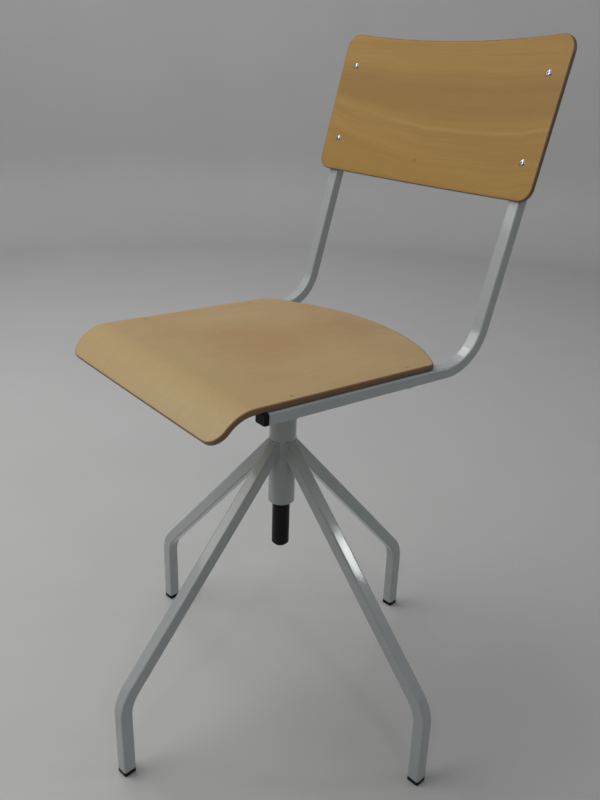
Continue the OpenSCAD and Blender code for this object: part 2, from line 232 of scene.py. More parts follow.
def rounded_rect(width, height, corner):
    """Points round a rectangle with round corners, with five of them along each flat."""
    points = []
    for quarter in range(4):
        across = quarter % 2 == 1
        w, h = (height, width) if across else (width, height)
        turn = Matrix.Rotation(math.pi / 2 * quarter, 2)
        for step in range(CORNER_STEPS + 1):
            a = math.pi / 2 * step / CORNER_STEPS
            p = Vector((w / 2 - corner + corner * math.cos(a), h / 2 - corner + corner * math.sin(a)))
            points.append(turn @ p)
        flat = w - 2 * corner
        for share in FLAT_SHARES:
            points.append(turn @ Vector((w / 2 - corner - flat * share, h / 2)))
    return points


def bent_path(first, last, bend, radius):
    """Centre line of a tube along X that then turns up towards Z: (x, z, angle of travel) stations."""
    reach = radius * math.tan(bend / 2)
    support = 0.001
    stations = [(0, 0, 0), (first - reach - support, 0, 0)]
    for step in range(BEND_STEPS + 1):
        a = bend * step / BEND_STEPS
        stations.append((first - reach + radius * math.sin(a), radius * (1 - math.cos(a)), a))
    for along in (reach + support, last):
        stations.append((first + along * math.cos(bend), along * math.sin(bend), bend))
    return stations


def section_ring(station, width, height, corner):
    """A tube's section at one station, as points in the tube's own frame."""
    x, z, a = station
    outline = rounded_rect(width, height, corner)
    return [Vector((x - v * math.sin(a), u, z + v * math.cos(a))) for u, v in outline]


def tube_rings(stations, width, height):
    """Outer rings of a tube from end to end, then its inner rings back."""
    inner_w, inner_h = width - 2 * WALL, height - 2 * WALL
    outer = [section_ring(s, width, height, TUBE_CORNER) for s in stations]
    inner = [section_ring(s, inner_w, inner_h, TUBE_CORNER - WALL) for s in stations]
    return outer, inner[::-1]


def tube(name, place, stations, width, height):
    """A hollow tube along its stations."""
    outer, inner = tube_rings(stations, width, height)
    rings = [[place @ p for p in ring] for ring in outer + inner]
    return flat_shading(loft(name, rings, closed=True))


def bead(name, path, radius):
    """A weld bead: a fat line round a closed path, with the ripples that the arc leaves."""
    middle = sum(path, Vector()) / len(path)
    count = len(path)
    travelled = 0
    rings = []
    for i, point in enumerate(path):
        along = (path[(i + 1) % count] - path[i - 1]).normalized()
        travelled += (point - path[i - 1]).length if i else 0
        out = (point - middle) - (point - middle).dot(along) * along
        out.normalize()
        side = along.cross(out)
        ripple = RIPPLE_DEPTH * math.sin(2 * math.pi * travelled / RIPPLE_LENGTH)
        sway = 0.08 * math.sin(travelled * 410 + 1)
        r = radius * (1 + ripple + sway)
        turns = [2 * math.pi * j / WELD_POINTS for j in range(WELD_POINTS)]
        rings.append([point + r * (math.cos(a) * out + math.sin(a) * side) for a in turns])
    return loft(name, rings, closed=True, crease=60)


def resampled(path, closed=True):
    """The same path with points at an even spacing, for a weld."""
    corners = path + path[:1] if closed else path
    points = []
    for a, b in zip(corners, corners[1:]):
        pieces = max(1, round((b - a).length / WELD_STEP))
        points += [a.lerp(b, i / pieces) for i in range(pieces)]
    return points if closed else points + [corners[-1]]


def plug(name, place, width, height, head, chamfer, stem):
    """A tube plug: a head with a rounded chamfer above the place's Z = 0, and a ribbed stem below."""
    slack, rib_height = WALL + 0.0002, 0.00015
    soft, tip = 0.0004, 0.001
    inner = (slack, TUBE_CORNER - WALL)
    rib = (slack - rib_height, TUBE_CORNER - WALL)
    sections = [(-stem, slack + tip, 0.0005), (-stem + tip, *inner)]
    for share in (0.8, 0.55, 0.3):
        z = -stem * share
        sections += [(z - 2 * soft, *inner), (z - soft, *rib), (z + soft, *rib), (z + 2 * soft, *inner)]
    sections += [(-0.0001, *inner), (0, 0.0003, TUBE_CORNER), (soft, 0, TUBE_CORNER)]
    side = head - chamfer
    sections += [(side - soft, 0, TUBE_CORNER), (side + soft, soft * 0.6, TUBE_CORNER)]
    sections += [(head - soft, chamfer - soft, 0.0012), (head, chamfer + soft, 0.0009)]
    rings = []
    for z, inset, corner in sections:
        outline = rounded_rect(width - 2 * inset, height - 2 * inset, corner)
        rings.append([place @ Vector((u, v, z)) for u, v in outline])
    return flat_shading(loft(name, rings))


# ---- Moulded panels ----

def edge_chain(half, corner, radius, middle, steps=64, corner_steps=10):
    """One long edge of a panel, right to left: an arc between round corners, hollow if radius < 0."""
    sign = math.copysign(1, radius)
    centre = middle - radius
    x = half - corner
    z = centre + sign * math.sqrt((radius - corner) ** 2 - x * x)
    meet = math.atan2(sign * (z - centre), sign * x)
    right = []
    for step in range(corner_steps):
        a = meet * step / corner_steps
        right.append((x + corner * math.cos(a), z + corner * math.sin(a)))
    spread = steps - 2 * corner_steps
    arc = []
    for step in range(spread + 1):
        a = meet + (math.pi - 2 * meet) * step / spread
        arc.append((radius * math.cos(a), centre + radius * math.sin(a)))
    left = [(-u, v) for u, v in reversed(right)]
    return right + arc + left


def panel_grid(near, far, rows):
    """Points between two long edges: near is at the low end, far at the high end, both right to left."""
    grid = []
    for row in range(rows + 1):
        share = row / rows
        grid.append([(u + (x - u) * share, v + (y - v) * share) for (u, v), (x, y) in zip(near, far)])
    return grid


def border(rows, columns):
    """Row and column of each point round a grid."""
    around = [(0, c) for c in range(columns)]
    around += [(r, columns - 1) for r in range(1, rows + 1)]
    around += [(rows, c) for c in range(columns - 2, -1, -1)]
    around += [(r, 0) for r in range(rows - 1, 0, -1)]
    return around


def edge_rows(thickness, rounding, steps=4):
    """(inset, height) rows from the face of a panel round its edge to its back."""
    upper = []
    for step in range(1, steps + 1):
        a = math.pi / 2 * step / steps
        upper.append((rounding * (1 - math.sin(a)), thickness - rounding * (1 - math.cos(a))))
    flat = [(0, rounding + (thickness - 2 * rounding) * share) for share in (0.96, 0.5, 0.04)]
    lower = [(inset, thickness - height) for inset, height in reversed(upper)]
    return upper + flat + lower


def panel(name, outline, surface, thickness, rounding, rows):
    """A moulded panel. outline(inset) gives its grid of flat points, and surface(u, v, h) places a point.

    Its points keep their place on the flat sheet, which the wood follows, in the attribute sheet.
    """
    top = outline(rounding)
    columns = len(top[0])
    flat = [(u, v, thickness) for line in top for u, v in line]
    flat += [(u, v, 0) for line in top for u, v in line]
    size = (rows + 1) * columns
    faces = []
    for r in range(rows):
        for c in range(columns - 1):
            a = r * columns + c
            quad = (a, a + columns, a + columns + 1, a + 1)
            faces.append(quad)
            faces.append(tuple(size + i for i in reversed(quad)))
    face_count = len(faces)
    around = border(rows, columns)
    above = [r * columns + c for r, c in around]
    for inset, height in edge_rows(thickness, rounding)[:-1]:
        grid = outline(inset)
        below = list(range(len(flat), len(flat) + len(around)))
        flat += [(*grid[r][c], height) for r, c in around]
        faces += strip(above, below)
        above = below
    faces += strip(above, [size + r * columns + c for r, c in around])
    piece = mesh_piece(name, [surface(*p) for p in flat], faces, crease=50)
    sheet = piece.data.attributes.new("sheet", "FLOAT_VECTOR", "POINT")
    sheet.data.foreach_set("vector", [value for p in flat for value in p])
    for polygon in piece.data.polygons[face_count:]:
        polygon.material_index = 1
    return piece


def seat_outline(rows):
    """Makes the seat's outline(inset): straight in front, a wide arc behind."""
    rear = SEAT_FLAT_START + SEAT_FLAT

    def outline(inset):
        half = SEAT_W / 2 - inset
        front = edge_chain(half, SEAT_CORNER - inset, NEARLY_STRAIGHT, -inset)
        far = edge_chain(half, SEAT_REAR_CORNER - inset, SEAT_REAR_RADIUS - inset, rear - inset)
        return panel_grid([(u, -v) for u, v in front], far, rows)
    return outline


def seat_surface(u, v, h):
    """Puts a point of the flat sheet on the seat: v runs back from the front edge, h up from below."""
    top = math.radians(SEAT_ROLL_ANGLE)
    roll = SEAT_FLAT_START - SEAT_LIP
    back = v - SEAT_FLAT_START
    radius = SEAT_ROLL_RADIUS - SEAT_T + h
    a = min(max(-back * top / roll, 0), top)
    along = max(back, 0) - max(SEAT_LIP - v, 0) * math.cos(top)
    y = SEAT_ROLL_Y - radius * math.sin(a) + along
    z = RAIL_H / 2 + h - radius * (1 - math.cos(a)) - max(SEAT_LIP - v, 0) * math.sin(top)
    return SEAT @ Vector((u, y, z))


def back_outline(rows):
    """Makes the backrest's outline(inset): straight below, a shallow hollow on top."""
    dip_radius = (BACK_W ** 2 / 4 + BACK_DIP ** 2) / (2 * BACK_DIP)
    middle = BACK_HIGH - BACK_DIP

    def outline(inset):
        half = BACK_W / 2 - inset
        low = edge_chain(half, BACK_CORNER_LOW - inset, NEARLY_STRAIGHT, -BACK_LOW - inset)
        high = edge_chain(half, BACK_CORNER_TOP - inset, -dip_radius - inset, middle - inset)
        return panel_grid([(u, -v) for u, v in low], high, rows)
    return outline


def back_surface(u, v, h):
    """Puts a point of the flat sheet on the backrest: v runs up and h forward from its rear face."""
    a = math.asin(u / BACK_OUTER)
    radius = BACK_OUTER - h
    return BACK @ Vector((radius * math.sin(a), BACK_CENTRE + radius * math.cos(a), v))


# ---- Nodes of a material ----

def node(tree, kind, inputs=None, **settings):
    """A shader node. An input is a value, or the output of another node."""
    made = tree.nodes.new(kind)
    for key, value in settings.items():
        setattr(made, key, value)
    for key, value in (inputs or {}).items():
        if isinstance(value, bpy.types.NodeSocket):
            tree.links.new(value, made.inputs[key])
        else:
            made.inputs[key].default_value = value
    return made


def material(name, **values):
    """A new material, its node tree and its shader, with plain values set on the shader's sockets."""
    made = bpy.data.materials.new(name)
    made.use_nodes = True
    shader = made.node_tree.nodes["Principled BSDF"]
    for key, value in values.items():
        shader.inputs[key.replace("_", " ")].default_value = value
    return made, made.node_tree, shader


def link(tree, output, socket):
    tree.links.new(output, socket)


def mixed(tree, factor, a, b, blend="MIX"):
    """The colour between a and b."""
    made = node(tree, "ShaderNodeMix", data_type="RGBA", blend_type=blend, clamp_factor=True)
    for index, value in ((0, factor), (6, a), (7, b)):
        if isinstance(value, bpy.types.NodeSocket):
            link(tree, value, made.inputs[index])
        else:
            made.inputs[index].default_value = value
    return made.outputs[2]


def maths(tree, operation, a, b=0.0, c=0.0):
    made = node(tree, "ShaderNodeMath", {0: a, 1: b, 2: c}, operation=operation)
    return made.outputs[0]


def apart(tree, a, b):
    """How far two values lie apart."""
    return maths(tree, "ABSOLUTE", maths(tree, "SUBTRACT", a, b))


def scaled(tree, vector, x, y, z):
    made = node(tree, "ShaderNodeVectorMath", {0: vector, 1: (x, y, z)}, operation="MULTIPLY")
    return made.outputs[0]


def noise(tree, vector, scale, detail=3.0, roughness=0.5, distortion=0.0):
    values = {"Vector": vector, "Scale": scale, "Detail": detail,
              "Roughness": roughness, "Distortion": distortion}
    return node(tree, "ShaderNodeTexNoise", values).outputs["Fac"]


def between(tree, value, low, high, to_low=0.0, to_high=1.0):
    """The value's place between low and high, eased and kept inside."""
    values = {"Value": value, 1: low, 2: high, 3: to_low, 4: to_high}
    return node(tree, "ShaderNodeMapRange", values, interpolation_type="SMOOTHSTEP").outputs[0]


def bump(tree, height, strength, distance, normal=None):
    values = {"Height": height, "Strength": strength, "Distance": distance}
    if normal:
        values["Normal"] = normal
    return node(tree, "ShaderNodeBump", values).outputs["Normal"]


def grey(value):
    return (value, value, value, 1)


# ---- Materials ----

PAINT_DARK, PAINT_LIGHT = (0.378, 0.408, 0.411, 1), (0.400, 0.428, 0.430, 1)
PLASTIC_BLACK, PLASTIC_SCUFF = (0.0045, 0.0045, 0.0048, 1), (0.016, 0.016, 0.016, 1)
STEEL_BLACK, STEEL_OILED = (0.0040, 0.0042, 0.0042, 1), (0.0105, 0.0098, 0.0090, 1)
SEAT_PALE, SEAT_WARM = (0.490, 0.347, 0.170, 1), (0.460, 0.308, 0.146, 1)
BACK_GOLD, BACK_DEEP = (0.422, 0.250, 0.056, 1), (0.378, 0.214, 0.043, 1)
LONG_LIGHT, LONG_DARK = (0.440, 0.250, 0.088, 1), (0.370, 0.200, 0.066, 1)
END_LIGHT, END_DARK = (0.310, 0.155, 0.048, 1), (0.215, 0.100, 0.030, 1)


def powder_coat():
    """Gloss powder coat in pale blue-grey: an orange-peel skin, faint clouding and specks of dust."""
    made, tree, shader = material("powder_coat", Coat_Weight=0.7, Coat_Roughness=0.07)
    place = node(tree, "ShaderNodeTexCoord").outputs["Object"]
    cloud = noise(tree, place, 9, 2, 0.5)
    colour = mixed(tree, between(tree, cloud, 0.3, 0.7), PAINT_DARK, PAINT_LIGHT)
    speck = noise(tree, place, 700, 1, 0.4)
    colour = mixed(tree, between(tree, speck, 0.74, 0.80, 0, 0.22), colour, (0.16, 0.16, 0.15, 1))
    link(tree, colour, shader.inputs["Base Color"])
    link(tree, between(tree, cloud, 0.2, 0.8, 0.26, 0.34), shader.inputs["Roughness"])
    peel = noise(tree, place, 380, 2, 0.4)
    soft = noise(tree, place, 60, 2, 0.5)
    skin = bump(tree, soft, 0.08, 0.0008, bump(tree, peel, 0.10, 0.0003))
    link(tree, skin, shader.inputs["Normal"])
    link(tree, skin, shader.inputs["Coat Normal"])
    return made


def moulded_plastic():
    """Black polyethylene with the fine matt texture of its mould and scuffs on it."""
    made, tree, shader = material("moulded_plastic", Specular_IOR_Level=0.2)
    place = node(tree, "ShaderNodeTexCoord").outputs["Object"]
    scuff = noise(tree, scaled(tree, place, 1, 1, 0.3), 160, 4, 0.6)
    colour = mixed(tree, between(tree, scuff, 0.58, 0.80), PLASTIC_BLACK, PLASTIC_SCUFF)
    link(tree, colour, shader.inputs["Base Color"])
    link(tree, between(tree, scuff, 0.3, 0.7, 0.42, 0.60), shader.inputs["Roughness"])
    grain = noise(tree, place, 2600, 2, 0.5)
    link(tree, bump(tree, grain, 0.25, 0.0001), shader.inputs["Normal"])
    return made


def blacked_steel():
    """Black-finished steel with the faint rings of turning and a film of oil."""
    made, tree, shader = material("blacked_steel", Specular_IOR_Level=0.18)
    place = node(tree, "ShaderNodeTexCoord").outputs["Object"]
    rings = noise(tree, scaled(tree, place, 0.04, 0.04, 1), 2400, 2, 0.5)
    film = noise(tree, place, 55, 4, 0.6)
    colour = mixed(tree, between(tree, film, 0.35, 0.7), STEEL_BLACK, STEEL_OILED)
    link(tree, colour, shader.inputs["Base Color"])
    link(tree, between(tree, film, 0.3, 0.7, 0.30, 0.46), shader.inputs["Roughness"])
    link(tree, bump(tree, rings, 0.18, 0.0001), shader.inputs["Normal"])
    return made


def plated_steel(name, tint, rough):
    """Zinc-plated steel with a brushed grain and slight clouding."""
    made, tree, shader = material(name, Metallic=1.0, Roughness=rough)
    place = node(tree, "ShaderNodeTexCoord").outputs["Object"]
    cloud = noise(tree, place, 300, 3, 0.6)
    dull = tuple(value * 0.72 for value in tint[:3]) + (1,)
    link(tree, mixed(tree, between(tree, cloud, 0.35, 0.7), tint, dull), shader.inputs["Base Color"])
    link(tree, between(tree, cloud, 0.3, 0.7, rough * 0.8, rough * 1.4), shader.inputs["Roughness"])
    brushed = noise(tree, scaled(tree, place, 1, 1, 0.1), 3000, 2, 0.5)
    link(tree, bump(tree, brushed, 0.12, 0.0001), shader.inputs["Normal"])
    return made


def sheet_place(tree):
    return node(tree, "ShaderNodeAttribute", attribute_name="sheet").outputs["Vector"]


def flat_place(tree, x, y):
    """A point on a plane."""
    return node(tree, "ShaderNodeCombineXYZ", {"X": x, "Y": y}).outputs[0]


def grain_figure(tree, across, along, wander):
    """How far across the grain lines a place lies, once the lines wander as in real veneer."""
    drift = flat_place(tree, maths(tree, "MULTIPLY", along, 2.2), across)
    bend = maths(tree, "SUBTRACT", noise(tree, drift, 6, 2, 0.5), 0.5)
    return maths(tree, "MULTIPLY_ADD", bend, wander, across)


def flecks(tree, across, along):
    """The short dark rays of beech, a few millimetres long and very thin."""
    cell = flat_place(tree, maths(tree, "MULTIPLY", along, 260), maths(tree, "MULTIPLY", across, 1900))
    spots = node(tree, "ShaderNodeTexVoronoi", {"Vector": cell, "Scale": 1.0, "Randomness": 1.0})
    return between(tree, spots.outputs["Distance"], 0.16, 0.34, 1, 0)


def fibres(tree, across, along):
    stretched = flat_place(tree, maths(tree, "MULTIPLY", along, 18), maths(tree, "MULTIPLY", across, 900))
    return noise(tree, stretched, 1.0, 4, 0.6)


def varnished(tree, shader, colour, across, along):
    """Adds flecks and fibres to a wood colour and puts a satin varnish on it."""
    fleck, fibre = flecks(tree, across, along), fibres(tree, across, along)
    colour = mixed(tree, between(tree, fibre, 0.25, 0.75, 0, 0.13), colour, (0.20, 0.105, 0.035, 1))
    colour = mixed(tree, maths(tree, "MULTIPLY", fleck, 0.24), colour, (0.19, 0.085, 0.025, 1))
    link(tree, colour, shader.inputs["Base Color"])
    link(tree, between(tree, fibre, 0.2, 0.8, 0.38, 0.50), shader.inputs["Roughness"])
    height = maths(tree, "MULTIPLY_ADD", fleck, -0.6, fibre)
    link(tree, bump(tree, height, 0.10, 0.0002), shader.inputs["Normal"])


def flat_noise(tree, x, y, detail=3.0):
    """Noise on a plane, from coordinates that are already scaled."""
    return noise(tree, flat_place(tree, x, y), 1.0, detail, 0.55)


def spot(tree, u, v, centre, radius, softness):
    """1 within the radius of a point on the sheet and 0 beyond its soft rim."""
    ends = {0: flat_place(tree, u, v), 1: (*centre, 0)}
    away = node(tree, "ShaderNodeVectorMath", ends, operation="DISTANCE").outputs["Value"]
    return between(tree, away, radius, radius + softness, 1, 0)


def seat_veneer():
    """Nearly plain pale beech with a painted highlight that makes the front roll lighter and yellower,
    with brown worn patches and dents.
    """
    finish = {"Specular_IOR_Level": 0.4, "Coat_Weight": 0.15, "Coat_Roughness": 0.3}
    made, tree, shader = material("seat_veneer", **finish)
    flat = node(tree, "ShaderNodeSeparateXYZ", {0: sheet_place(tree)})
    u, v = flat.outputs["X"], flat.outputs["Y"]
    line = grain_figure(tree, u, v, 0.05)
    cloud = flat_noise(tree, maths(tree, "MULTIPLY", u, 9), maths(tree, "MULTIPLY", v, 6))
    band = flat_noise(tree, maths(tree, "MULTIPLY", line, 26), maths(tree, "MULTIPLY", v, 1.2))
    fine = flat_noise(tree, maths(tree, "MULTIPLY", line, 150), maths(tree, "MULTIPLY", v, 2))
    colour = mixed(tree, between(tree, cloud, 0.3, 0.7), SEAT_PALE, SEAT_WARM)
    colour = mixed(tree, between(tree, band, 0.35, 0.75, 0, 0.30), colour, (0.430, 0.275, 0.122, 1))
    colour = mixed(tree, between(tree, fine, 0.45, 0.80, 0, 0.18), colour, (0.380, 0.215, 0.085, 1))
    # Painted highlight: the front roll and the start of the flat are lighter and yellower, fading out
    # further back.
    front = between(tree, maths(tree, "MULTIPLY_ADD", cloud, 0.06, v), 0.08, 0.19, 0.8, 0)
    colour = mixed(tree, front, colour, (0.485, 0.345, 0.150, 1))
    for centre, radius, strength in SEAT_WEAR:
        patch = maths(tree, "MULTIPLY", spot(tree, u, v, centre, radius, 0.09), strength)
        patch = maths(tree, "MULTIPLY", patch, between(tree, cloud, 0.2, 0.6, 0.6, 1))
        colour = mixed(tree, patch, colour, (0.400, 0.215, 0.085, 1))
    for side in SIDES.values():
        for y in DENT_Y:
            place = (side * (RAIL_OFFSET - DENT_ASIDE), y - SEAT_ROLL_Y + SEAT_FLAT_START)
            dent = spot(tree, u, v, place, 0.0018, 0.0022)
            colour = mixed(tree, maths(tree, "MULTIPLY", dent, 0.5), colour, (0.120, 0.060, 0.025, 1))
    varnished(tree, shader, colour, line, v)
    return made


def back_veneer():
    """Golden beech, its grain across the backrest: soft level bands above, sagging lines below."""
    finish = {"Specular_IOR_Level": 0.22, "Coat_Weight": 0.06, "Coat_Roughness": 0.3}
    made, tree, shader = material("back_veneer", **finish)
    flat = node(tree, "ShaderNodeSeparateXYZ", {0: sheet_place(tree)})
    u, v = flat.outputs["X"], flat.outputs["Y"]
    aside = maths(tree, "SUBTRACT", u, 0.05)
    squared = maths(tree, "MULTIPLY", aside, aside)
    sag = maths(tree, "MULTIPLY", squared, between(tree, v, 0.33, 0.43, 0.46, 0))
    level = maths(tree, "SUBTRACT", v, sag)
    line = grain_figure(tree, level, u, 0.012)
    band = flat_noise(tree, maths(tree, "MULTIPLY", line, 60), maths(tree, "MULTIPLY", u, 2.4))
    fine = flat_noise(tree, maths(tree, "MULTIPLY", line, 330), maths(tree, "MULTIPLY", u, 3))
    colour = mixed(tree, between(tree, band, 0.3, 0.7), BACK_GOLD, BACK_DEEP)
    heart = between(tree, apart(tree, line, 0.363), 0.012, 0.050, 0.60, 0)
    colour = mixed(tree, heart, colour, (0.318, 0.166, 0.038, 1))
    pale = between(tree, apart(tree, line, 0.3166), 0.0008, 0.0050, 0.45, 0)
    pale = maths(tree, "MULTIPLY", pale, between(tree, u, -0.16, 0.04, 0.15, 1))
    colour = mixed(tree, pale, colour, (0.490, 0.325, 0.100, 1))
    colour = mixed(tree, between(tree, fine, 0.45, 0.80, 0, 0.30), colour, (0.285, 0.145, 0.034, 1))
    knot = spot(tree, u, v, (-0.012, 0.268), 0.0010, 0.0030)
    colour = mixed(tree, maths(tree, "MULTIPLY", knot, 0.45), colour, (0.150, 0.075, 0.025, 1))
    varnished(tree, shader, colour, line, u)
    return made


def ply_edge(name, plies, thickness, painted_edge_shade):
    """The cut edge of plywood: plies of long and end grain by turns, under painted shade that darkens the
    whole edge.
    """
    made, tree, shader = material(name, Roughness=0.45, Coat_Weight=0.15, Coat_Roughness=0.35)
    place = sheet_place(tree)
    flat = node(tree, "ShaderNodeSeparateXYZ", {0: place})
    wobble = maths(tree, "SUBTRACT", noise(tree, scaled(tree, place, 1, 1, 0), 30, 2), 0.5)
    wobble = maths(tree, "MULTIPLY", wobble, 0.3)
    ply = maths(tree, "MULTIPLY_ADD", flat.outputs["Z"], plies / thickness, wobble)
    within = maths(tree, "FRACT", ply)
    turn = maths(tree, "FRACT", maths(tree, "MULTIPLY", ply, 0.5))
    pores = noise(tree, scaled(tree, place, 1, 1, 0.35), 1500, 3, 0.6)
    streaks = noise(tree, scaled(tree, place, 0.06, 0.06, 1), 2600, 3, 0.6)
    long_grain = mixed(tree, between(tree, streaks, 0.3, 0.7), LONG_LIGHT, LONG_DARK)
    end_grain = mixed(tree, between(tree, pores, 0.35, 0.65), END_LIGHT, END_DARK)
    colour = mixed(tree, between(tree, turn, 0.47, 0.53), long_grain, end_grain)
    glue = between(tree, apart(tree, within, 0.5), 0.40, 0.49)
    colour = mixed(tree, maths(tree, "MULTIPLY", glue, 0.7), colour, (0.095, 0.042, 0.013, 1))
    # Painted shade: the whole edge is darkened towards dark brown by the given strength, a little more
    # where the pore noise is high.
    painted_shade_mask = between(tree, pores, 0.2, 0.8, 0.85 * painted_edge_shade, painted_edge_shade)
    colour = mixed(tree, painted_shade_mask, colour, (0.042, 0.021, 0.009, 1))
    link(tree, colour, shader.inputs["Base Color"])
    link(tree, bump(tree, maths(tree, "SUBTRACT", pores, glue), 0.25, 0.0002), shader.inputs["Normal"])
    return made


# ---- The chair ----

def finished(piece, body, look, slot, *stands_for):
    """Gives a piece its material or materials and its body, and hides the nodes it stands for. The slot
    is not used.
    """
    looks = look if isinstance(look, (list, tuple)) else [look]
    for each in looks:
        piece.data.materials.append(each)
    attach(piece, body)
    if stands_for:
        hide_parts(*stands_for)
    return piece


def coped(ring, bend):
    """Runs a tube's end ring on along the tube until each point meets the hub."""
    hub = HUB_R - WELD_SINK
    run = Vector((math.cos(bend), 0, math.sin(bend)))
    points = []
    for p in ring:
        travel = (FOOT_RADIUS - p.z - math.sqrt(hub * hub - p.y * p.y)) / math.sin(bend)
        points.append(p + run * travel)
    return points


def make_leg(number, side, look):
    """A bent leg, its end shaped to the hub, and the weld bead round that end."""
    slope = math.atan2(LEG_APEX_HEIGHT - LEG_BEND_HEIGHT, FOOT_RADIUS)
    bend = math.pi / 2 - slope
    reach = math.hypot(FOOT_RADIUS, LEG_APEX_HEIGHT - LEG_BEND_HEIGHT) - 2 * HUB_R
    stations = bent_path(LEG_BEND_HEIGHT - FOOT_HEAD, reach, bend, LEG_BEND_RADIUS)
    outer, inner = tube_rings(stations, LEG_TUBE, LEG_TUBE)
    place = leg_frame(number)
    outer[-1], inner[0] = coped(outer[-1], bend), coped(inner[0], bend)
    rings = [[place @ p for p in ring] for ring in outer + inner]
    leg = flat_shading(loft("leg_tube_" + side, rings, closed=True))
    finished(leg, "base", look, "paint", "leg_" + side)
    seam = resampled([place @ p for p in outer[-1]])
    finished(bead("leg_weld_" + side, seam, LEG_WELD), "base", look, "paint")


def make_foot(number, side, look):
    """The plug in a leg's lower end, which stands on the floor."""
    place = leg_frame(number) @ turned(-90, "Y")
    foot = plug("foot_plug_" + side, place, LEG_TUBE, LEG_TUBE, FOOT_HEAD, FOOT_CHAMFER, FOOT_STEM)
    finished(foot, "base", look, "plastic", "foot_" + side)


def make_hub(look, plastic):
    """The hub tube and the flanged bush in its mouth."""
    low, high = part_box("hub_tube")
    wall = ring_profile(HUB_R, HUB_R - HUB_WALL, low.z, high.z, edge=0.0006)
    hub = lathe("hub", wall, closed=True, steps=TURNED_STEPS)
    finished(flat_shading(hub), "base", look, "paint", "hub_tube")
    low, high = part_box("guide_bush")
    outer, bore, soft = HUB_R - HUB_WALL - RUNNING, SPINDLE_R + RUNNING, 0.0004
    flange = high.z - BUSH_FLANGE
    profile = [(outer - soft, low.z), (outer, low.z + soft), (outer, flange),
               (HUB_R - soft, flange), (HUB_R, flange + soft),
               (HUB_R, high.z - 3 * soft), (HUB_R - soft, high.z - soft), (HUB_R - 3 * soft, high.z),
               (bore + soft, high.z), (bore, high.z - soft), (bore, low.z + soft), (bore + soft, low.z)]
    bush = lathe("hub_bush", profile, closed=True, steps=TURNED_STEPS)
    finished(flat_shading(bush), "bush", plastic, "plastic", "guide_bush")


def thread_ridge(low, high):
    """The ridge of the screw thread: a tapered tooth wound round the core, sunk at both of its ends."""
    steps = 60
    core = SPINDLE_R - THREAD_DEPTH
    root, end = core - 0.0003, core - 0.0002
    count = int((high - low) / THREAD_LEAD * steps)
    rings = []
    for i in range(count + 1):
        z = low + THREAD_LEAD * i / steps
        a = 2 * math.pi * i / steps
        rise = min(1, i / steps * 2, (count - i) / steps * 2)
        crest = end + (SPINDLE_R - end) * rise
        out = Vector((math.cos(a), math.sin(a), 0))
        tooth = [(root, -TOOTH_ROOT), (core, -TOOTH_FOOT), (crest, -TOOTH_CREST),
                 (crest, TOOTH_CREST), (core, TOOTH_FOOT), (root, TOOTH_ROOT)]
        ring = []
        for r, share in tooth:
            ring.append(out * min(r, max(crest, root)) + Vector((0, 0, z + share * THREAD_LEAD)))
        rings.append(ring)
    return loft("thread_ridge", rings, crease=30)


def make_spindle(look):
    """The spindle: a rod with the thread's ridge wound round its upper part."""
    low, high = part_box("spindle")
    plain_top = low.z + PLAIN_LENGTH
    thread_low = plain_top + RELIEF_LENGTH
    core = SPINDLE_R - THREAD_DEPTH
    chamfer, soft = SPINDLE_CHAMFER, 0.0003
    profile = [(SPINDLE_R - chamfer - soft, low.z), (SPINDLE_R - chamfer, low.z + soft),
               (SPINDLE_R - soft, low.z + chamfer), (SPINDLE_R, low.z + chamfer + 2 * soft),
               (SPINDLE_R, plain_top - soft), (SPINDLE_R - soft, plain_top), (RELIEF_R, plain_top),
               (RELIEF_R, thread_low), (core, thread_low + 0.001), (core, high.z)]
    rod = lathe("spindle_core", profile, steps=TURNED_STEPS)
    ridge = thread_ridge(thread_low + THREAD_LEAD / 2, high.z - THREAD_LEAD)
    finished(flat_shading(join("spindle_rod", [rod, ridge])), "seat", look, "spindle_black", "spindle")


def make_plate(look, under):
    """The plate that the rails' cross tubes stand on. Under is the height of its lower face."""
    sections = [(0, PLATE_EDGE), (PLATE_EDGE, 0), (PLATE_T - PLATE_EDGE, 0), (PLATE_T, PLATE_EDGE)]
    rings = []
    for z, inset in sections:
        outline = rounded_rect(PLATE_W - 2 * inset, PLATE_LENGTH - 2 * inset, PLATE_CORNER - inset)
        rings.append([ON_AXIS @ Vector((x, y, under + z)) for x, y in outline])
    finished(flat_shading(loft("seat_plate", rings)), "seat", look, "paint", "support_plate")


def make_support(look):
    """The collar on the spindle, the plate above it and the two cross tubes, with their welds."""
    low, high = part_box("spindle_collar")
    radius = high.x
    wall = ring_profile(radius, SPINDLE_R, low.z, high.z - 0.0002, edge=0.001)
    collar = lathe("collar", wall, closed=True, steps=TURNED_STEPS)
    finished(flat_shading(collar), "seat", look, "paint", "spindle_collar")
    under = -RAIL_H / 2 - PLATE_T
    make_plate(look, under)
    welds = [bead("weld_collar", circle(radius, under, ON_AXIS, 140), COLLAR_WELD)]
    half = RAIL_OFFSET - RAIL_W / 2
    reach = (-PLATE_WELD_REACH, PLATE_WELD_REACH)
    for side, y in (("front", -CROSS_Y), ("rear", CROSS_Y)):
        place = ON_AXIS @ moved(-half, y, 0)
        across = tube("seat_cross_" + side, place, [(0, 0, 0), (2 * half, 0, 0)], RAIL_W, RAIL_H)
        finished(across, "seat", look, "paint", "cross_tube_" + side)
        for end in (0, 2 * half):
            seam = [place @ p for p in section_ring((end, 0, 0), RAIL_W, RAIL_H, TUBE_CORNER)]
            welds.append(bead("weld_cross", resampled(seam), CROSS_WELD))
        for edge in (-RAIL_W / 2, RAIL_W / 2):
            ends = [place @ Vector((half + x, edge, -RAIL_H / 2)) for x in reach]
            welds.append(straight_bead("weld_plate", ends, PLATE_WELD))
    finished(join("seat_frame_welds", welds), "seat", look, "paint")


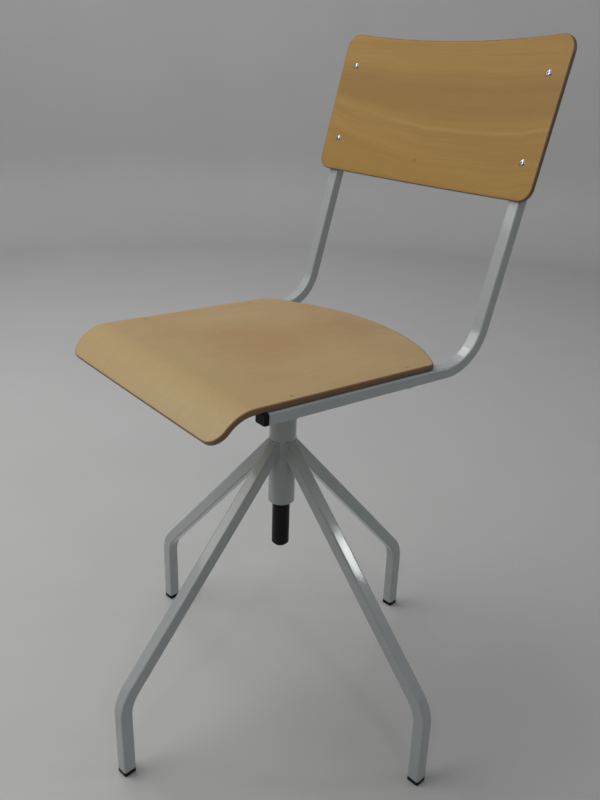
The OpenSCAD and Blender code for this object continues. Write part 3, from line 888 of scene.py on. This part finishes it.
def straight_bead(name, ends, radius):
    """A short weld bead that tapers off at both ends."""
    path = resampled(ends, closed=False)
    along = (ends[1] - ends[0]).normalized()
    side = along.cross(Vector((0, 0, 1)))
    up = side.cross(along)
    rings = []
    for i, point in enumerate(path):
        fade = min(1, 0.25 + i / 3, 0.25 + (len(path) - 1 - i) / 3)
        r = radius * fade * (1 + RIPPLE_DEPTH * math.sin(i * 1.9))
        turns = [2 * math.pi * j / WELD_POINTS for j in range(WELD_POINTS)]
        rings.append([point + r * (math.cos(a) * side + math.sin(a) * up) for a in turns])
    return loft(name, rings, crease=60)


def make_rail(side, sign, look, plastic):
    """One bent tube from seat rail to backrest upright, with its plug and its cap."""
    start = SEAT @ moved(sign * RAIL_OFFSET, -RAIL_LENGTH, 0)
    bend = math.radians(90 - BACK_LEAN + SEAT_FALL)
    stations = bent_path(RAIL_LENGTH, UPRIGHT_LENGTH, bend, RAIL_BEND_RADIUS)
    rail = tube("side_tube_" + side, start @ turned(90, "Z"), stations, RAIL_W, RAIL_H)
    finished(rail, "seat", look, "paint", "rail_" + side)
    mouth = start @ turned(90, "X")
    front = plug("side_plug_" + side, mouth, RAIL_W, RAIL_H, PLUG_HEAD, PLUG_CHAMFER, PLUG_STEM)
    finished(front, "seat", plastic, "plastic", "rail_plug_" + side)
    top = BACK @ moved(sign * RAIL_OFFSET, 0, UPRIGHT_LENGTH)
    cap = plug("side_cap_" + side, top, RAIL_W, RAIL_H, CAP_HEAD, PLUG_CHAMFER, PLUG_STEM)
    finished(cap, "seat", plastic, "plastic", "upright_cap_" + side)


def make_panels():
    """The moulded seat and backrest."""
    outline = seat_outline(SEAT_ROWS)
    seat = panel("seat_shell", outline, seat_surface, SEAT_T, SEAT_ROUNDING, SEAT_ROWS)
    # Here and below, the last number given to ply_edge is how strongly painted shade darkens the panel's
    # edges.
    looks = [seat_veneer(), ply_edge("seat_edge", SEAT_PLIES, SEAT_T, 0.48)]
    finished(seat, "seat", looks, "seat_wood", "seat_panel")
    outline = back_outline(BACK_ROWS)
    back = panel("back_shell", outline, back_surface, BACK_T, BACK_ROUNDING, BACK_ROWS)
    looks = [back_veneer(), ply_edge("back_edge", BACK_PLIES, BACK_T, 0.58)]
    finished(back, "seat", looks, "back_wood", "backrest_panel")


def socket(radius, height, place, steps=48):
    """A hexagon ring with the given distance from its middle to a flat."""
    points = []
    for i in range(steps):
        a = 2 * math.pi * i / steps
        reach = radius / math.cos((a + math.pi / 6) % (math.pi / 3) - math.pi / 6)
        points.append(place @ Vector((reach * math.cos(a), reach * math.sin(a), height)))
    return points


def make_dome_screws(look):
    """Button-head screws that hold the backrest, each a dome with a hexagon socket on a plain shank."""
    face = BACK_CENTRE + math.sqrt(BACK_RADIUS ** 2 - RAIL_OFFSET ** 2) + DOME_SINK
    ball = (DOME_R ** 2 + DOME_H ** 2) / (2 * DOME_H)
    spread = math.asin(DOME_R / ball)
    mouth = math.asin(1.3 * SOCKET_R / ball)
    dome = []
    steps = 12
    for step in range(steps + 1):
        a = mouth + (spread - mouth) * step / steps
        dome.append((ball * math.sin(a), face - DOME_H + ball * (1 - math.cos(a))))
    dome += [(SCREW_R, face), (SCREW_R, SCREW_END - 0.0005), (SCREW_R - 0.0005, SCREW_END)]
    lip = dome[0][1]
    screws = []
    for x in (-RAIL_OFFSET, RAIL_OFFSET):
        for z in BACK_SCREW_Z:
            place = BACK @ moved(x, 0, z) @ turned(-90, "X")
            rings = [socket(SOCKET_R * 0.9, lip + SOCKET_DEPTH, place),
                     socket(SOCKET_R, lip + SOCKET_DEPTH - 0.0003, place),
                     socket(SOCKET_R, lip, place)]
            rings += [circle(r, height, place, 48) for r, height in dome]
            screws.append(loft("screw", rings))
    finished(join("dome_screws", screws), "seat", look, "dome", "backrest_screws")


def dress_nodes(plastic, plated):
    """Looks for the nodes whose own shape is right."""
    plated_nodes = ("spindle_nut", "spindle_bolt", "spindle_washer", "seat_inserts",
                    "seat_screws", "backrest_washers", "backrest_nuts")
    for name in plated_nodes + ("guide_sleeve",):
        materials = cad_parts[name].data.materials
        materials.clear()
        materials.append(plated if name in plated_nodes else plastic)


# ---- Stage, light and camera ----

def make_stage():
    """A pale floor that sweeps up into a wall all round, far from the chair."""
    made, tree, shader = material("stage_floor", Roughness=0.62)
    place = node(tree, "ShaderNodeTexCoord").outputs["Object"]
    cloud = noise(tree, place, 1.6, 4, 0.6)
    link(tree, mixed(tree, cloud, grey(0.50), grey(0.56)), shader.inputs["Base Color"])
    flat, wall, sweep, steps, round_steps = 3.6, 6.0, 0.5, 12, 128
    profile = [(0.02, 0.0), (flat, 0.0)]
    for step in range(1, steps + 1):
        a = math.pi / 2 * step / steps
        profile.append((flat + sweep * math.sin(a), sweep * (1 - math.cos(a))))
    profile.append((flat + sweep, wall))
    rings = [circle(r, z, steps=round_steps) for r, z in profile]
    faces = [tuple(range(round_steps))]
    for i in range(len(rings) - 1):
        below = range(i * round_steps, (i + 1) * round_steps)
        above = range((i + 1) * round_steps, (i + 2) * round_steps)
        faces += strip(below, above)
    floor = mesh_piece("stage_floor", [p for ring in rings for p in ring], faces)
    floor.data.materials.append(made)


def towards(azimuth, elevation):
    """The direction in which a view's camera or a lamp stands."""
    a, e = math.radians(azimuth), math.radians(elevation)
    return Vector((math.sin(a) * math.cos(e), -math.cos(a) * math.cos(e), math.sin(e)))


def area_light(name, target, azimuth, elevation, distance, size, power, colour):
    """A soft square lamp that looks at the target from a direction given as a view is."""
    lamp = bpy.data.lights.new(name, "AREA")
    lamp.shape = "SQUARE"
    lamp.size, lamp.energy, lamp.color = size, power, colour
    holder = bpy.data.objects.new(name, lamp)
    bpy.context.scene.collection.objects.link(holder)
    away = towards(azimuth, elevation)
    holder.location = target + away * distance
    holder.rotation_mode = "QUATERNION"
    holder.rotation_quaternion = away.to_track_quat("Z", "Y")


def make_lights():
    """A large soft key lamp, a top lamp, a weak fill, three small windows and a lamp for the wall."""
    middle = (cad_low + cad_high) / 2
    area_light("key", middle, VIEW_AZIMUTH - 86, 45, 2.6, size=2.2, power=38, colour=(1.0, 0.99, 0.97))
    area_light("top", middle, 0, 90, 2.9, size=2.6, power=9, colour=(1.0, 1.0, 1.0))
    area_light("fill", middle, VIEW_AZIMUTH + 70, 30, 3.0, size=2.2, power=3, colour=(0.96, 0.98, 1.0))
    windows = (("window_left", -12, 40), ("window_right", 22, 40), ("window_far", 91, 25))
    for name, aside, height in windows:
        azimuth = VIEW_AZIMUTH + aside
        area_light(name, middle, azimuth, height, 3.0, size=0.22, power=3.2, colour=(0.97, 0.99, 1.0))
    backdrop = Vector((-3.0, 1.2, 1.4))
    area_light("backdrop", backdrop, VIEW_AZIMUTH, 50, 2.6, size=1.6, power=34, colour=(1.0, 1.0, 1.0))
    world = bpy.data.worlds.new("studio")
    bpy.context.scene.world = world
    world.use_nodes = True
    sky = world.node_tree.nodes["Background"]
    sky.inputs["Color"].default_value = (0.96, 0.98, 1.0, 1)
    sky.inputs["Strength"].default_value = 0.19


def make_camera():
    """The photographer's camera, which leans a little."""
    back = towards(VIEW_AZIMUTH, VIEW_ELEVATION)
    azimuth = math.radians(VIEW_AZIMUTH)
    right = Vector((math.cos(azimuth), math.sin(azimuth), 0))
    up = back.cross(right)
    data = bpy.data.cameras.new("camera")
    data.lens = LENS
    camera = bpy.data.objects.new("camera", data)
    bpy.context.scene.collection.objects.link(camera)
    roll = math.radians(VIEW_ROLL)
    across = math.cos(roll) * right + math.sin(roll) * up
    upward = -math.sin(roll) * right + math.cos(roll) * up
    aim = VIEW_AIM_RIGHT * right + VIEW_AIM_UP * up
    turn = Matrix((across, upward, back)).transposed()
    camera.matrix_world = Matrix.Translation(aim + back * VIEW_DISTANCE) @ turn.to_4x4()
    bpy.context.scene.camera = camera


def make_chair():
    paint, plastic = powder_coat(), moulded_plastic()
    plated = plated_steel("plated_steel", (0.62, 0.62, 0.60, 1), 0.32)
    bright = plated_steel("bright_steel", (0.58, 0.55, 0.57, 1), 0.24)
    for number, side in enumerate(LEGS):
        make_leg(number, side, paint)
        make_foot(number, side, plastic)
    make_hub(paint, plastic)
    make_spindle(blacked_steel())
    make_support(paint)
    for side, sign in SIDES.items():
        make_rail(side, sign, paint, plastic)
    make_panels()
    make_dome_screws(bright)
    dress_nodes(plastic, plated)


make_camera()
make_chair()
make_stage()
make_lights()
bpy.context.scene.view_settings.view_transform = "Standard"
